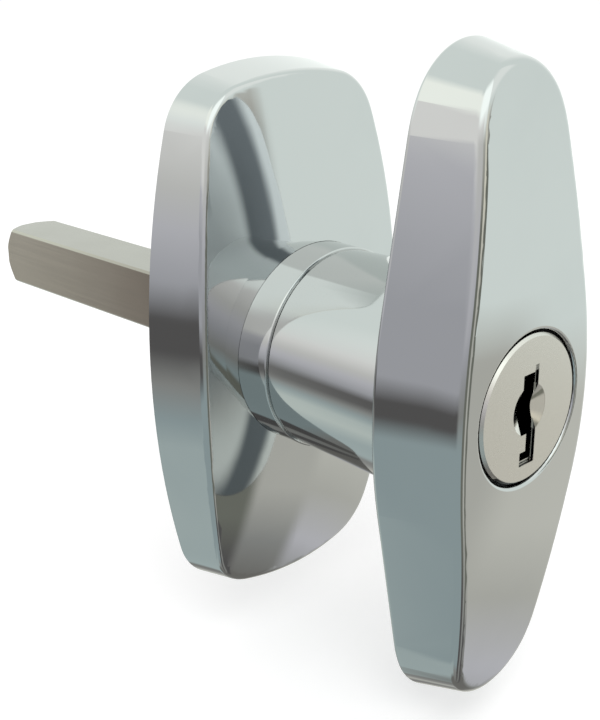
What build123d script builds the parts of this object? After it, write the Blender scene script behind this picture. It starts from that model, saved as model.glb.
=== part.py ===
from build123d import *
import math
import os

# Locking T-handle with a square spindle, in millimetres.
# The origin is on the spindle's axis, in the plane where the base plate meets the door.
# +Z is up along the grip, the lock faces -Y and the spindle runs to +Y.

# Base plate
base_width = 36.2
base_height = 66.0
base_depth = 9.8
base_side_radius = 101.0
base_corner_radius = 8.0
base_end_radius = 38.0
base_draft = 9.5
base_crown_long = 137.0
base_crown_cross = 75.0
base_edge_round = 0.85
base_wall = 2.2
mount_pitch = 46.0
mount_boss_diameter = 8.4
mount_core_diameter = 4.2
mount_thread_depth = 6.0

# Collar ring, round the base plate's neck
collar_height = 3.48
collar_wall = 1.2
collar_edge_round = 0.18
bearing_wall = 1.96
bearing_shoulder = 2.4

# Handle: grip, neck and hub in one casting
grip_width = 28.0
grip_height = 75.3
grip_depth = 10.12
grip_side_radius = 58.8
grip_corner_radius = 15.0
grip_end_radius = 9.3
grip_end_sweep = 132.0
grip_draft = 14.5
grip_crown_long = 190.0
grip_crown_cross = 270.0
grip_edge_round = 1.3
grip_rear_round = 0.4
neck_length = 17.23
neck_draft = 2.52
neck_step = 0.28
hub_diameter = 18.0
hub_setback = 0.5
handle_sweep = 90.0

# Lock
lock_bore_diameter = 17.22
lock_bore_depth = 23.7
lock_bore_round = 0.4
plug_recess = 0.15
face_thickness = 1.8
face_chamfer = 0.3
rotor_diameter = 13.2
sleeve_end_wall = 1.5
sleeve_key_width = 3.0
sleeve_key_height = 1.2
tail_diameter = 7.0
plug_sweep = 90.0
stop_lug_angle = 24.0
stop_lug_height = 1.0
snap_wire = 1.0
snap_offset = 2.6
ring_opening = 30.0
tail_clip_opening = 90.0

# Keyway
keyway_width = 2.65
keyway_top = 4.1
keyway_bottom = 6.3
keyway_rim_depth = 0.4
keyway_side_step = 0.2
keyway_foot_step = 0.4
keyway_ward_width = 1.45
keyway_ward_top = 2.9
keyway_ward_bottom = 4.9
keyway_ward_depth = 0.3
keyway_notch_width = 0.7
keyway_notch_height = 0.75
keyway_notch_depth = 0.2
key_entry_diameter = 5.75
key_entry_depth = 0.75

# Wafers
wafer_width = 5.2
wafer_thickness = 1.0
wafer_pitch = 3.0
wafer_lift = 0.7
wafer_cuts = (0.0, 0.5, 0.2, 0.6, 0.3)
wafer_ear = 1.1
wafer_spring_length = 3.1
wafer_spring_wall = 0.2

# Locking bolt and the pin that drives it
bolt_width = 6.4
bolt_thickness = 2.7
bolt_tail = 3.4
bolt_lip = 0.3
bolt_tip_setback = 0.15
crank_radius = 1.3
crank_pin_diameter = 2.0

# Spindle and its pin
spindle_square = 8.0
spindle_reach = 51.2
spindle_end_chamfer = 1.5
spindle_edge_chamfer = 0.3
spindle_web = 1.1
spindle_pin_diameter = 3.0

# Rings and washers on the hub and the tail
seal_section = 1.4
seal_land = 0.45
clip_thickness = 1.2
clip_groove_depth = 0.5
clip_margin = 1.13
clip_band = 1.5
clip_ear_radius = 1.3
clip_ear_hole = 0.6
stop_washer_thickness = 1.2
stop_washer_band = 2.8
stop_tab_width = 4.0
stop_tab_reach = 2.4
stop_block_width = 2.5
hub_flat_depth = 1.4
wave_washer_thickness = 0.4
wave_washer_band = 2.2
tail_clip_thickness = 0.8
tail_clip_groove_depth = 0.7
tail_clip_band = 2.4

# Clearances
running_clearance = 0.06
fit_clearance = 0.03
slide_clearance = 0.05
axial_play = 0.05
seam_gap = 0.05
face_gap = 0.3
bolt_clearance = 0.3
crank_clearance = 0.12
stop_clearance = 0.1
overcut = 1.0

# Radii that follow from the sizes above
hub_radius = hub_diameter / 2
bearing_radius = hub_radius + running_clearance
tube_radius = bearing_radius + bearing_wall
collar_bore_radius = tube_radius + fit_clearance
collar_radius = collar_bore_radius + collar_wall
neck_radius = collar_radius - neck_step
boss_radius = tube_radius + bearing_shoulder
lock_bore_radius = lock_bore_diameter / 2
sleeve_radius = lock_bore_radius - fit_clearance
rotor_radius = rotor_diameter / 2
sleeve_bore_radius = rotor_radius + running_clearance
face_radius = lock_bore_radius - face_gap
tail_radius = tail_diameter / 2
tail_groove_radius = tail_radius - tail_clip_groove_depth
tail_clip_radius = tail_groove_radius + tail_clip_band
tail_pocket_radius = tail_clip_radius + face_gap
clip_groove_radius = hub_radius - clip_groove_depth
stop_washer_radius = hub_radius + stop_washer_band
stop_tab_radius = stop_washer_radius + stop_tab_reach
spindle_pin_radius = spindle_pin_diameter / 2
seal_groove_radius = hub_radius - seal_section
half_sweep = math.radians(plug_sweep / 2)
lug_start = -90 - stop_lug_angle / 2
bolt_travel = 2 * crank_radius * math.sin(half_sweep)
bolt_tip_radius = hub_radius - bolt_tip_setback

# Places along the spindle's axis, worked from the door to the front of the hub
hub_end_y = -hub_setback
clip_rear_y = hub_end_y - clip_margin
clip_front_y = clip_rear_y - clip_thickness
stop_rear_y = clip_front_y - axial_play
stop_front_y = stop_rear_y - stop_washer_thickness
wave_rear_y = stop_front_y - axial_play
wave_front_y = wave_rear_y - wave_washer_thickness
boss_rear_y = wave_front_y - axial_play

# Places along the axis, worked from the base plate to the front of the grip
base_front_y = -base_depth
collar_front_y = base_front_y - collar_height
neck_rear_y = collar_front_y - seam_gap
grip_rear_y = neck_rear_y - neck_length
grip_front_y = grip_rear_y - grip_depth
bolt_front_y = neck_rear_y + bolt_lip
bolt_rear_y = bolt_front_y + bolt_thickness
seal_front_y = bolt_rear_y + slide_clearance + seal_land
seal_rear_y = seal_front_y + seal_section + 2 * axial_play
spindle_front_y = bolt_rear_y + spindle_web
spindle_pin_y = (seal_rear_y + boss_rear_y) / 2

# Places along the axis inside the lock
face_front_y = grip_front_y + plug_recess
face_rear_y = face_front_y + face_thickness
sleeve_front_y = face_rear_y + 2 * axial_play
bore_floor_y = grip_front_y + lock_bore_depth
rotor_rear_y = bore_floor_y - sleeve_end_wall - 2 * axial_play
tail_clip_front_y = bore_floor_y + 2 * axial_play
tail_end_y = bolt_front_y - bolt_tip_setback
snap_y = bore_floor_y - snap_offset
wafer_ys = [rotor_rear_y - wafer_pitch * (i + 1) for i in range(len(wafer_cuts))]


def facing(y):
    """A drawing plane seen from the front: x to the right, y up, at a place along the axis."""
    return Plane(origin=(0, y, 0), x_dir=(1, 0, 0), z_dir=(0, -1, 0))


def prism(sketch, front_y, rear_y):
    """A sketch seen from the front, as a solid between two places along the axis."""
    return extrude(facing(rear_y) * sketch, amount=rear_y - front_y)


def disc(radius, front_y, rear_y):
    return prism(Circle(radius), front_y, rear_y)


def ring(outer, inner, front_y, rear_y):
    return prism(Circle(outer) - Circle(inner), front_y, rear_y)


def block(x_low, x_high, z_low, z_high, front_y, rear_y):
    """A box given by its sides."""
    size = (x_high - x_low, rear_y - front_y, z_high - z_low)
    middle = ((x_low + x_high) / 2, (front_y + rear_y) / 2, (z_low + z_high) / 2)
    return Pos(*middle) * Box(*size)


def turned(points):
    """A solid turned about the axis, from its outline as (radius, place) points."""
    return revolve(make_face(Polyline(*points, close=True)), Axis.Y)


def polar(radius, angle):
    """A point at a radius and an angle, in degrees counter-clockwise from +X."""
    turn = math.radians(angle)
    return radius * math.cos(turn), radius * math.sin(turn)


def sector(outer, inner, start, sweep):
    """A stretch of a flat ring, from a start angle through a sweep, counter-clockwise."""
    last = start + sweep
    return make_face([
        CenterArc((0, 0), outer, start, sweep),
        Line(polar(outer, last), polar(inner, last)),
        CenterArc((0, 0), inner, start, sweep),
        Line(polar(outer, start), polar(inner, start)),
    ])


def drop(radius, offset):
    """How far a crown of this radius falls away at an offset from its top."""
    return radius - math.sqrt(radius**2 - offset**2)


def pillow_outline(width, height, side_radius, corner_radius, end_radius):
    """Bowed sides and ends that run into round corners, each arc tangent to the next."""
    side_x = width / 2 - side_radius
    end_z = height / 2 - end_radius
    to_side = side_radius - corner_radius
    to_end = end_radius - corner_radius
    span = math.hypot(side_x, end_z)
    along = (to_side**2 - to_end**2 + span**2) / (2 * span)
    across = math.sqrt(to_side**2 - along**2)
    corner_x = side_x + (-along * side_x - across * end_z) / span
    corner_z = (along * end_z - across * side_x) / span
    low = math.degrees(math.atan2(corner_z, corner_x - side_x))
    high = math.degrees(math.atan2(corner_z - end_z, corner_x))
    turn = high - low
    return make_face([
        CenterArc((side_x, 0), side_radius, -low, 2 * low),
        CenterArc((corner_x, corner_z), corner_radius, low, turn),
        CenterArc((0, end_z), end_radius, high, 180 - 2 * high),
        CenterArc((-corner_x, corner_z), corner_radius, 180 - high, turn),
        CenterArc((-side_x, 0), side_radius, 180 - low, 2 * low),
        CenterArc((-corner_x, -corner_z), corner_radius, 180 + low, turn),
        CenterArc((0, -end_z), end_radius, 180 + high, 180 - 2 * high),
        CenterArc((corner_x, -corner_z), corner_radius, -high, turn),
    ])


def leaf_outline(width, height, side_radius, corner_radius, end_radius, end_sweep):
    """Bowed sides that run along straight flanks into wide corners and tighter ends."""
    side_x = width / 2 - side_radius
    end_z = height / 2 - end_radius
    lead = 90 - end_sweep / 2
    back_x, back_z = polar(corner_radius - end_radius, lead)
    corner_x = -back_x
    corner_z = end_z - back_z
    span = math.hypot(corner_x - side_x, corner_z)
    normal = math.atan2(corner_z, corner_x - side_x) - math.acos((side_radius - corner_radius) / span)
    turn = math.degrees(normal)
    side_edge = polar(side_radius, turn)
    corner_edge = polar(corner_radius, turn)
    low_x, low_z = side_x + side_edge[0], side_edge[1]
    high_x, high_z = corner_x + corner_edge[0], corner_z + corner_edge[1]
    quarters = [(1, 1), (1, -1), (-1, 1), (-1, -1)]
    flanks = [Line((sx * low_x, sz * low_z), (sx * high_x, sz * high_z)) for sx, sz in quarters]
    return make_face([
        CenterArc((side_x, 0), side_radius, -turn, 2 * turn),
        CenterArc((-side_x, 0), side_radius, 180 - turn, 2 * turn),
        CenterArc((corner_x, corner_z), corner_radius, turn, lead - turn),
        CenterArc((-corner_x, corner_z), corner_radius, 180 - lead, lead - turn),
        CenterArc((-corner_x, -corner_z), corner_radius, 180 + turn, lead - turn),
        CenterArc((corner_x, -corner_z), corner_radius, -lead, lead - turn),
        CenterArc((0, end_z), end_radius, lead, end_sweep),
        CenterArc((0, -end_z), end_radius, 180 + lead, end_sweep),
        *flanks,
    ])


def crown(apex_y, long_radius, cross_radius, half_height):
    """A barrel whose front is bowed along its height and across it, with its seam at the far side."""
    axis_y = apex_y + cross_radius
    far_y = axis_y + cross_radius
    edge_y = far_y - drop(long_radius, half_height)
    profile = make_face([
        ThreePointArc((0, edge_y, -half_height), (0, far_y, 0), (0, edge_y, half_height)),
        Line((0, edge_y, half_height), (0, axis_y, half_height)),
        Line((0, axis_y, half_height), (0, axis_y, -half_height)),
        Line((0, axis_y, -half_height), (0, edge_y, -half_height)),
    ])
    return revolve(profile, Axis((0, axis_y, 0), (0, 0, 1)))


def crowned_casting(outline, rear_y, apex_y, draft, long_radius, cross_radius, half_height):
    """An outline that narrows towards its front, cut to a crowned face."""
    drafted = extrude(facing(rear_y) * outline, amount=rear_y - apex_y + overcut, taper=draft)
    return drafted & crown(apex_y, long_radius, cross_radius, half_height + overcut)


def front_edges(casting):
    """The edges round the crowned face."""
    return casting.faces().sort_by(Axis.Y)[0].edges()


def base_shape(inset, apex_y):
    """The base plate's outer form, or its hollow when it is inset by the wall."""
    outline = pillow_outline(
        base_width - 2 * inset,
        base_height - 2 * inset,
        base_side_radius - inset,
        base_corner_radius - inset,
        base_end_radius - inset,
    )
    half_height = base_height / 2
    long_radius = base_crown_long - inset
    cross_radius = base_crown_cross - inset
    return crowned_casting(outline, 0, apex_y, base_draft, long_radius, cross_radius, half_height)


def stop_blocks():
    """The two blocks in the base plate's hollow that the stop washer's tab meets."""
    near = stop_tab_width / 2 + stop_clearance
    far = near + stop_block_width
    inner = stop_washer_radius + face_gap
    outer = stop_tab_radius + face_gap
    start = block(inner, outer, near, far, base_front_y, stop_rear_y)
    end = block(-far, -near, -outer, -inner, base_front_y, stop_rear_y)
    return start + end.rotate(Axis.Y, handle_sweep - 90)


def bolt_notch(angle):
    """The way out of the base plate's neck for the locking bolt, at a handle angle."""
    half_width = bolt_width / 2 + bolt_clearance
    front_y = collar_front_y - overcut
    rear_y = bolt_rear_y + bolt_clearance
    notch = block(-half_width, half_width, -(tube_radius + overcut), -bolt_tail, front_y, rear_y)
    return notch.rotate(Axis.Y, angle)


def collar_seat_depth():
    """The collar's round seat lies just below the lowest point of the crown beside it."""
    fall = max(drop(base_crown_long, collar_radius), drop(base_crown_cross, collar_radius))
    return fall + collar_edge_round


def base_plate():
    outer = base_shape(0, base_front_y)
    hollow = base_shape(base_wall, base_front_y + base_wall)
    fixings = disc(boss_radius, base_front_y, boss_rear_y) + stop_blocks()
    for z in (mount_pitch / 2, -mount_pitch / 2):
        fixings += Pos(0, 0, z) * disc(mount_boss_diameter / 2, base_front_y, 0)
    plate = fillet(front_edges(outer), base_edge_round) - hollow + (fixings & outer)
    seat_y = base_front_y + collar_seat_depth()
    plate -= ring(collar_radius + fit_clearance, tube_radius, base_front_y - overcut, seat_y)
    plate += ring(tube_radius, hub_radius, collar_front_y, boss_rear_y)
    plate -= disc(bearing_radius, collar_front_y - overcut, overcut)
    plate -= bolt_notch(0) + bolt_notch(handle_sweep)
    for z in (mount_pitch / 2, -mount_pitch / 2):
        plate -= Pos(0, 0, z) * disc(mount_core_diameter / 2, -mount_thread_depth, overcut)
    return plate


def collar_ring():
    collar = ring(collar_radius, collar_bore_radius, collar_front_y, base_front_y + collar_seat_depth())
    front_rim = collar.edges().filter_by(GeomType.CIRCLE).group_by(Axis.Y)[0].sort_by(SortBy.RADIUS)[-1]
    return fillet(front_rim, collar_edge_round)


def neck_and_hub():
    """The tapered neck and the plain hub behind it, with the hub's flats for the stop washer."""
    grip_end = neck_radius + neck_length * math.tan(math.radians(neck_draft))
    chamfer_y = neck_rear_y - collar_edge_round
    neck = turned([
        (0, grip_rear_y - overcut),
        (grip_end, grip_rear_y - overcut),
        (grip_end, grip_rear_y),
        (neck_radius, chamfer_y),
        (neck_radius - collar_edge_round, neck_rear_y),
        (0, neck_rear_y),
    ])
    hub = disc(hub_radius, neck_rear_y, hub_end_y)
    flat_x = hub_radius - hub_flat_depth
    for side in (1, -1):
        x_low, x_high = sorted((side * flat_x, side * (hub_radius + overcut)))
        hub -= block(x_low, x_high, -hub_radius, hub_radius, stop_front_y, hub_end_y + overcut)
    return neck + hub


def handle_hollows():
    """What is cut out of the handle for the lock, the bolt, the spindle and the rings."""
    cuts = disc(lock_bore_radius, grip_front_y - overcut, bore_floor_y)
    cuts += disc(tail_pocket_radius, bore_floor_y, bolt_front_y)
    cuts += sleeve_key(fit_clearance)
    snap_groove_radius = snap_outer_radius() + fit_clearance
    cuts += ring(snap_groove_radius, rotor_radius, snap_y - snap_half(), snap_y + snap_half())
    bolt_half = bolt_width / 2 + slide_clearance
    cuts += block(
        -bolt_half,
        bolt_half,
        -(hub_radius + overcut),
        bolt_tail + slide_clearance,
        bolt_front_y - slide_clearance,
        bolt_rear_y + slide_clearance,
    )
    cuts += ring(hub_radius + overcut, seal_groove_radius, seal_front_y, seal_rear_y)
    groove_rear_y = clip_rear_y + axial_play
    cuts += ring(hub_radius + overcut, clip_groove_radius, clip_front_y, groove_rear_y)
    socket_half = spindle_square / 2 + fit_clearance
    socket_front_y = spindle_front_y - axial_play
    cuts += block(-socket_half, socket_half, -socket_half, socket_half, socket_front_y, hub_end_y + overcut)
    cuts += pin_bore()
    return cuts


def handle_casting():
    outline = leaf_outline(
        grip_width, grip_height, grip_side_radius, grip_corner_radius, grip_end_radius, grip_end_sweep
    )
    half_height = grip_height / 2
    grip = crowned_casting(
        outline, grip_rear_y, grip_front_y, grip_draft, grip_crown_long, grip_crown_cross, half_height
    )
    grip = fillet(front_edges(grip), grip_edge_round)
    grip = fillet(grip.faces().sort_by(Axis.Y)[-1].edges(), grip_rear_round)
    casting = grip + neck_and_hub() - handle_hollows()
    bore_rim = casting.faces().sort_by(Axis.Y)[0].inner_wires()[0].edges()
    return fillet(bore_rim, lock_bore_round)


def pin_bore():
    """The hole for the spindle pin, through the hub and the spindle."""
    radius = spindle_pin_radius + fit_clearance
    return Pos(0, spindle_pin_y, 0) * Rot(0, 90, 0) * Cylinder(radius, 2 * (hub_radius + overcut))


def snap_half():
    return snap_wire / 2 + fit_clearance


def snap_outer_radius():
    return sleeve_radius + snap_wire / 2


def sleeve_key(clearance):
    """The lug behind the sleeve that stops it turning, or its slot in the bore's floor."""
    half_width = sleeve_key_width / 2 + clearance
    mid_radius = (tail_pocket_radius + lock_bore_radius) / 2
    front_y = bore_floor_y - sleeve_end_wall
    rear_y = bore_floor_y + sleeve_key_height + clearance
    low = mid_radius - sleeve_key_height / 2 - clearance
    lug = block(-half_width, half_width, low, lock_bore_radius, front_y, rear_y)
    return lug & disc(sleeve_radius + clearance, front_y, rear_y)


def lug_band():
    """The inner and outer radius of the plug's stop lug, in the middle of the sleeve's wall."""
    middle = (sleeve_bore_radius + sleeve_radius) / 2
    half = (sleeve_radius - sleeve_bore_radius) / 4
    return middle - half, middle + half


def lock_sleeve():
    end_wall_y = bore_floor_y - sleeve_end_wall
    sleeve = ring(sleeve_radius, sleeve_bore_radius, sleeve_front_y, end_wall_y)
    sleeve += ring(sleeve_radius, tail_radius + running_clearance, end_wall_y, bore_floor_y)
    sleeve += sleeve_key(0)
    groove_radius = sleeve_radius - snap_half()
    sleeve -= ring(sleeve_radius + overcut, groove_radius, snap_y - snap_half(), snap_y + snap_half())
    groove_half = wafer_width / 2 + bolt_clearance
    groove_reach = sleeve_bore_radius + wafer_lift + fit_clearance
    wafer_front_y = wafer_ys[-1] - wafer_pitch / 2
    wafer_rear_y = wafer_ys[0] + wafer_pitch / 2
    upright = block(-groove_half, groove_half, -groove_reach, groove_reach, wafer_front_y, wafer_rear_y)
    sleeve -= upright + upright.rotate(Axis.Y, plug_sweep)
    inner, outer = lug_band()
    slack = math.degrees(stop_clearance / inner)
    start = lug_start - slack - plug_sweep
    sweep = plug_sweep + stop_lug_angle + 2 * slack
    track = sector(outer + face_gap / 2, inner - face_gap / 2, start, sweep)
    return sleeve - prism(track, sleeve_front_y - overcut, face_rear_y + stop_lug_height + stop_clearance)


def sleeve_snap_ring():
    """A round wire, bent to an open ring, half in the sleeve and half in the handle."""
    radius = snap_wire / 2
    wire = Plane.XY * Pos(sleeve_radius, snap_y) * Circle(radius)
    return revolve(wire, Axis.Y, revolution_arc=360 - ring_opening)


def keyway():
    """The keyway: a shallow stepped rim over a deeper slot with a ward, and its countersunk entry."""
    half = keyway_width / 2
    inner = half - keyway_side_step
    front_y = face_front_y - overcut
    deep_y = wafer_ys[0] + wafer_pitch / 2
    notch_left = half - keyway_notch_width
    notch_top = keyway_top + keyway_notch_height
    ward_right = keyway_ward_width - half
    rim = block(-half, half, -keyway_bottom, keyway_top, front_y, face_front_y + keyway_rim_depth)
    rim += block(notch_left, half, keyway_top, notch_top, front_y, face_front_y + keyway_notch_depth)
    slot = block(-half, inner, keyway_foot_step - keyway_bottom, keyway_top, front_y, deep_y)
    ward_y = face_front_y + keyway_ward_depth
    ward = block(-half, ward_right, -keyway_ward_bottom, -keyway_ward_top, ward_y, deep_y)
    entry_radius = key_entry_diameter / 2
    entry_floor_y = face_front_y + key_entry_depth
    entry_side = [(entry_radius, front_y), (entry_radius, face_front_y), (inner, entry_floor_y)]
    entry = turned([(0, front_y)] + entry_side + [(0, entry_floor_y)])
    return rim + slot - ward + entry


def wafer_slot(y):
    """The slot through the plug for one wafer, with the pocket for its ear and spring."""
    half = wafer_thickness / 2 + slide_clearance
    half_width = wafer_width / 2 + slide_clearance
    ear_reach = wafer_width / 2 + wafer_ear + slide_clearance
    floor = -wafer_thickness / 2 - wafer_spring_length - slide_clearance
    reach = rotor_radius + overcut
    slot = block(-half_width, half_width, -reach, reach, y - half, y + half)
    ceiling = wafer_thickness / 2 + wafer_lift + bolt_clearance
    pocket = block(0, ear_reach, floor, ceiling, y - half, y + half)
    return slot + pocket


def lock_plug():
    plug = disc(face_radius, face_front_y, face_rear_y)
    plug = chamfer(plug.faces().sort_by(Axis.Y)[0].edges(), face_chamfer)
    plug += disc(rotor_radius, face_rear_y, rotor_rear_y)
    plug += disc(tail_radius, rotor_rear_y, tail_end_y)
    plug += crank_pin()
    inner, outer = lug_band()
    lug = sector(outer, inner, lug_start, stop_lug_angle)
    plug += prism(lug, face_rear_y, face_rear_y + stop_lug_height)
    plug -= keyway()
    for y in wafer_ys:
        plug -= wafer_slot(y)
    groove_front_y = tail_clip_front_y - axial_play
    groove_rear_y = tail_clip_front_y + tail_clip_thickness + axial_play
    return plug - ring(tail_radius + overcut, tail_groove_radius, groove_front_y, groove_rear_y)


def crank_place():
    """Where the driving pin stands at rest: half the plug's turn ahead of the bolt's mid stroke."""
    return crank_radius * math.cos(half_sweep), crank_radius * math.sin(half_sweep)


def crank_pin():
    x, z = crank_place()
    return Pos(x, 0, z) * disc(crank_pin_diameter / 2, tail_end_y, bolt_rear_y - bolt_tip_setback)


def open_ring(outer, inner, front_y, rear_y, opening, angle):
    """A flat ring with an opening centred on an angle."""
    return prism(sector(outer, inner, angle + opening / 2, 360 - opening), front_y, rear_y)


def plug_clip():
    inner = tail_groove_radius + fit_clearance
    rear_y = tail_clip_front_y + tail_clip_thickness
    return open_ring(tail_clip_radius, inner, tail_clip_front_y, rear_y, tail_clip_opening, 0)


def wafer(y, cut):
    """One wafer: a plate across the plug with a window for the key and an ear for its spring."""
    half = wafer_thickness / 2
    half_width = wafer_width / 2
    plate = block(-half_width, half_width, -rotor_radius, rotor_radius, y - half, y + half)
    plate &= disc(rotor_radius - slide_clearance, y - half, y + half)
    plate += block(0, half_width + wafer_ear, -half, half, y - half, y + half)
    window_half = keyway_width / 2 + slide_clearance
    window_low = -keyway_bottom + keyway_foot_step + cut
    window_high = keyway_top - wafer_lift + cut
    return plate - block(-window_half, window_half, window_low, window_high, y - half, y + half)


def wafer_springs():
    """The five springs, each a plain tube under its wafer's ear."""
    radius = wafer_ear / 2 - slide_clearance
    x = (wafer_width + wafer_ear) / 2
    middle = -(wafer_thickness + wafer_spring_length) / 2
    height = wafer_spring_length - slide_clearance
    tube = Cylinder(radius, height) - Cylinder(radius - wafer_spring_wall, height)
    return [Pos(x, y, middle) * tube for y in wafer_ys]


def locking_bolt():
    half_width = bolt_width / 2
    bolt = block(-half_width, half_width, -hub_radius, bolt_tail, bolt_front_y, bolt_rear_y)
    bolt &= disc(bolt_tip_radius, bolt_front_y, bolt_rear_y)
    x, z = crank_place()
    pin_radius = crank_pin_diameter / 2
    slot_half = pin_radius + crank_clearance
    slot_left = x - slot_half
    slot_right = crank_radius + slot_half
    front_y = bolt_front_y - overcut
    rear_y = bolt_rear_y + overcut
    return bolt - block(slot_left, slot_right, z - slot_half, z + slot_half, front_y, rear_y)


def spindle():
    half = spindle_square / 2
    bar = block(-half, half, -half, half, spindle_front_y, spindle_reach)
    bar = chamfer(bar.edges().filter_by(Axis.Y), spindle_edge_chamfer)
    corner = half * math.sqrt(2)
    turning = turned([
        (0, spindle_front_y),
        (corner, spindle_front_y),
        (corner, spindle_reach - spindle_end_chamfer),
        (corner - spindle_end_chamfer, spindle_reach),
        (0, spindle_reach),
    ])
    return (bar & turning) - pin_bore()


def spindle_pin():
    length = 2 * bolt_tip_radius
    pin = Pos(0, spindle_pin_y, 0) * Rot(0, 90, 0) * Cylinder(spindle_pin_radius, length)
    return chamfer(pin.edges().filter_by(GeomType.CIRCLE), spindle_edge_chamfer)


def hub_seal():
    section = seal_section / 2
    middle_y = (seal_front_y + seal_rear_y) / 2
    profile = Pos(seal_groove_radius + section + fit_clearance, middle_y) * Circle(section)
    return revolve(profile, Axis.Y)


def wave_washer():
    """Drawn pressed flat, as it lies between the hub's washer and the base plate."""
    inner = hub_radius + running_clearance
    return ring(inner + wave_washer_band, inner, wave_front_y, wave_rear_y)


def stop_washer():
    flat_x = hub_radius - hub_flat_depth + fit_clearance
    opening = Circle(hub_radius + fit_clearance) & Rectangle(2 * flat_x, 3 * hub_radius)
    tab = Pos(stop_tab_radius / 2, 0) * Rectangle(stop_tab_radius, stop_tab_width)
    return prism(Circle(stop_washer_radius) + tab - opening, stop_front_y, stop_rear_y)


def hub_circlip():
    inner = clip_groove_radius + fit_clearance
    outer = inner + clip_band
    clip = sector(outer, inner, 90 + ring_opening / 2, 360 - ring_opening)
    ear_turn = math.radians(ring_opening / 2) + clip_ear_radius / outer
    for side in (1, -1):
        ear_x = side * outer * math.sin(ear_turn)
        ear_z = outer * math.cos(ear_turn)
        clip += Pos(ear_x, ear_z) * Circle(clip_ear_radius)
        clip -= Pos(ear_x, ear_z) * Circle(clip_ear_hole)
    return prism(clip, clip_front_y, clip_rear_y)


def main():
    pieces = {
        "base_plate": base_plate(),
        "collar_ring": collar_ring(),
        "handle_casting": handle_casting(),
        "lock_sleeve": lock_sleeve(),
        "sleeve_snap_ring": sleeve_snap_ring(),
        "lock_plug": lock_plug(),
        "plug_clip": plug_clip(),
        "wafer_springs": Compound(wafer_springs()),
        "locking_bolt": locking_bolt(),
        "spindle": spindle(),
        "spindle_pin": spindle_pin(),
        "hub_seal": hub_seal(),
        "wave_washer": wave_washer(),
        "stop_washer": stop_washer(),
        "hub_circlip": hub_circlip(),
    }
    for number, (y, cut) in enumerate(zip(wafer_ys, wafer_cuts), start=1):
        pieces[f"wafer_{number}"] = wafer(y, cut)
    os.makedirs("parts", exist_ok=True)
    for name, shape in pieces.items():
        export_step(shape, f"parts/{name}.step")


main()
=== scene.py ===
import math

import bpy
import numpy as np
from mathutils import Matrix, Vector


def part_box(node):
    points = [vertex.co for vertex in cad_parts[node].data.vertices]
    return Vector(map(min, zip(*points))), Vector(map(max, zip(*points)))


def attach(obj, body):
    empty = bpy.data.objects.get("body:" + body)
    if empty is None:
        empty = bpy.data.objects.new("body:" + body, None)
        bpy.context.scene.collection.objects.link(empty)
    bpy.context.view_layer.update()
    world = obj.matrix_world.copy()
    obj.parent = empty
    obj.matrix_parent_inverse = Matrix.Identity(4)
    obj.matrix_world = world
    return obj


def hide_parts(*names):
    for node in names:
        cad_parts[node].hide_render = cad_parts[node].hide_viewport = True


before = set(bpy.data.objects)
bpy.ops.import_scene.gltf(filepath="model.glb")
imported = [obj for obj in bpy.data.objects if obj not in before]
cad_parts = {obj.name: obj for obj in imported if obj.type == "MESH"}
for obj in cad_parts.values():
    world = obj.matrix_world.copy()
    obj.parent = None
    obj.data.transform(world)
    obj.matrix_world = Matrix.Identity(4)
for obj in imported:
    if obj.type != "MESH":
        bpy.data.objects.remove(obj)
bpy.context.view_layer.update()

# Camera: degrees, metres, and millimetres for the lens and its sensor
CAMERA_AZIMUTH = -45.4181
CAMERA_ELEVATION = 20.4276
CAMERA_ROLL = -0.185
CAMERA_OFFSET = (-0.0048077, 0.0046209, -0.1570108)
CAMERA_LENS = 62.083
SENSOR_WIDTH = 36
NEAREST_SEEN = 0.01
FARTHEST_SEEN = 20

# Studio, in metres, watts and levels of light
FLOOR_HEIGHT = -0.041
FLOOR_SIZE = 6.0
FLOOR_TONE = 0.85
FLOOR_GLOW = 0.32
ROOM_RADIUS = 1.4
ROOM_LEVEL = 1.57
WORLD_LEVEL = 0.8
KEY_LAMP_WATTS = 2.8
KEY_LAMP_SIZE = 0.6
KEY_LAMP_PLACE = (-0.45, -0.45, 0.65)

# Lock, in metres from the spindle's axis and from the lock's face
LOCK_FACE_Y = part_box("lock_plug")[0][1]
LOCK_FACE_RADIUS = 0.00831
LOCK_BORE_RADIUS = 0.00861
KEYWAY_HALF_WIDTH = 0.001325
KEYWAY_SIDE_STEP = 0.0002
KEYWAY_TOP = 0.0041
KEYWAY_BOTTOM = 0.0063
KEYWAY_RIM_DEPTH = 0.0004
KEY_ENTRY_RADIUS = 0.002875
KEY_ENTRY_POLISH = 0.16
PLUG_LIT_DEPTH = 0.0009
GAP_FLOOR_Y = LOCK_FACE_Y + 0.0025
GAP_LIT_DEPTH = (0.0012, 0.0017)
HAIR = 0.00003

# Satin rear face of the grip, with its oval ring of painted dark reflection: the half axes of two ovals, in
# metres, and the stretch of each oval's equation, which is 1 on the oval itself, over which the ring fades
PAINTED_RING_SHIFT = 0.006
PAINTED_RING_OUTER = (0.011, 0.035)
PAINTED_RING_INNER = (0.0085, 0.037)
RING_OUTER_FADE = (2.25, 1.6)
RING_INNER_FADE = (0.6, 1.1)
# Heights over which the rear face's painted reflection grows paler towards the bottom, in metres
REAR_PAINTED_PALE_HEIGHTS = (-0.008, -0.018)
REAR_ROUGHNESS = 0.36

# Stretch of the spindle over which the painted reflection on its upright sides grows paler towards the free
# end, in metres
BAR_PAINTED_PALE_REACH = (0.0, 0.05)

# How far a normal turns to the rear, or upwards or downwards, where one finish gives way to another; on the
# spindle, where the top gives way to the painted reflection of its sides
PLATE_REAR_FACING = (0.3, 0.6)
GRIP_REAR_FACING = (0.9, 0.98)
UPRIGHT_FACING = (0.8, 0.6)

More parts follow.
